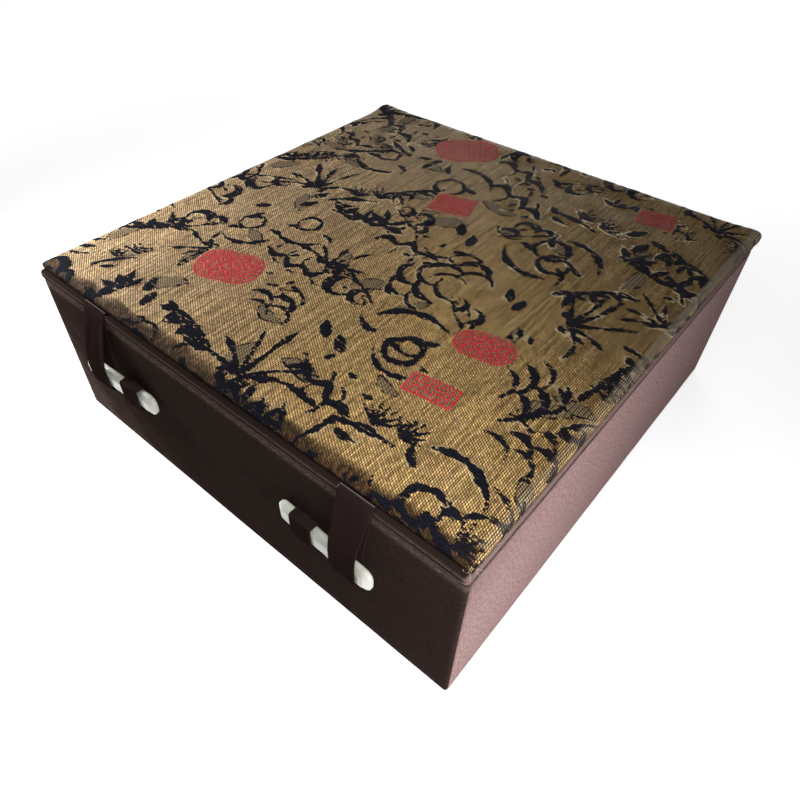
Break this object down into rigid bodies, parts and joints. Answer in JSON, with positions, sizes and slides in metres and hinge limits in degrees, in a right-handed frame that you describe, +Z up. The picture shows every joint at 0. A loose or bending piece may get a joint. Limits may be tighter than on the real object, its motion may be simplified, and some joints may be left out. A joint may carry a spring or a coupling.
{
  "type": "brocade keepsake box",
  "caption": "Low square keepsake box with a padded brocade lid on a cloth hinge, closed by ribbon loops over bone toggles on its front wall.",
  "frame": {"origin": "centre of the case's underside, on the surface the box stands on", "axes": "+Z up; the front wall with the clasps faces -Y; +X to the right seen from the front"},
  "size_m": [0.2, 0.211, 0.0742],
  "materials": {
    "greyboard": "matt",
    "base_paper": "matt",
    "brown_cloth": "napped cloth",
    "brocade": "woven gold brocade",
    "lining_satin": "satin",
    "wadding": "soft wadding",
    "ribbon": "satin ribbon",
    "bone": "polished imitation bone"
  },
  "bodies": {
    "case": {"base_board": "greyboard", "base_cover": "base_paper", "case_cloth": "brown_cloth", "back_brocade": "brocade", "hinge_strip": "lining_satin", "front_board": "greyboard", "back_board": "greyboard", "left_board": "greyboard", "right_board": "greyboard", "lining_card_front": "greyboard", "lining_card_back": "greyboard", "lining_card_left": "greyboard", "lining_card_right": "greyboard", "lining_satin_front": "lining_satin", "lining_satin_back": "lining_satin", "lining_satin_left": "lining_satin", "lining_satin_right": "lining_satin", "floor_card": "greyboard", "floor_wadding": "wadding", "floor_satin": "lining_satin", "toggle_strap_left": "ribbon", "toggle_strap_right": "ribbon"},
    "lid": {"lid_liner_board": "greyboard", "lid_liner_cloth": "brown_cloth", "lid_board": "greyboard", "lid_wadding": "wadding", "lid_brocade": "brocade", "lid_lining_card": "greyboard", "lid_lining_wadding": "wadding", "lid_lining_satin": "lining_satin", "ribbon_loop_left": "ribbon", "ribbon_loop_right": "ribbon"},
    "toggle_left": {"toggle_left": "bone"},
    "toggle_right": {"toggle_right": "bone"}
  },
  "joints": [
    {"name": "lid_hinge", "type": "hinge", "parent": "case", "child": "lid", "pos_m": [0, 0.1022, 0.06675], "axis": [-1, 0, 0], "range_deg": [0, 170], "deforming": ["hinge_strip", "ribbon_loop_left", "ribbon_loop_right"]},
    {"name": "toggle_slide_left", "type": "slide", "parent": "case", "child": "toggle_left", "axis": [0.9988, 0.0494, 0], "range_m": [0, 0.02]},
    {"name": "toggle_slide_right", "type": "slide", "parent": "case", "child": "toggle_right", "axis": [-0.9988, 0.0494, 0], "range_m": [0, 0.02]}
  ]
}
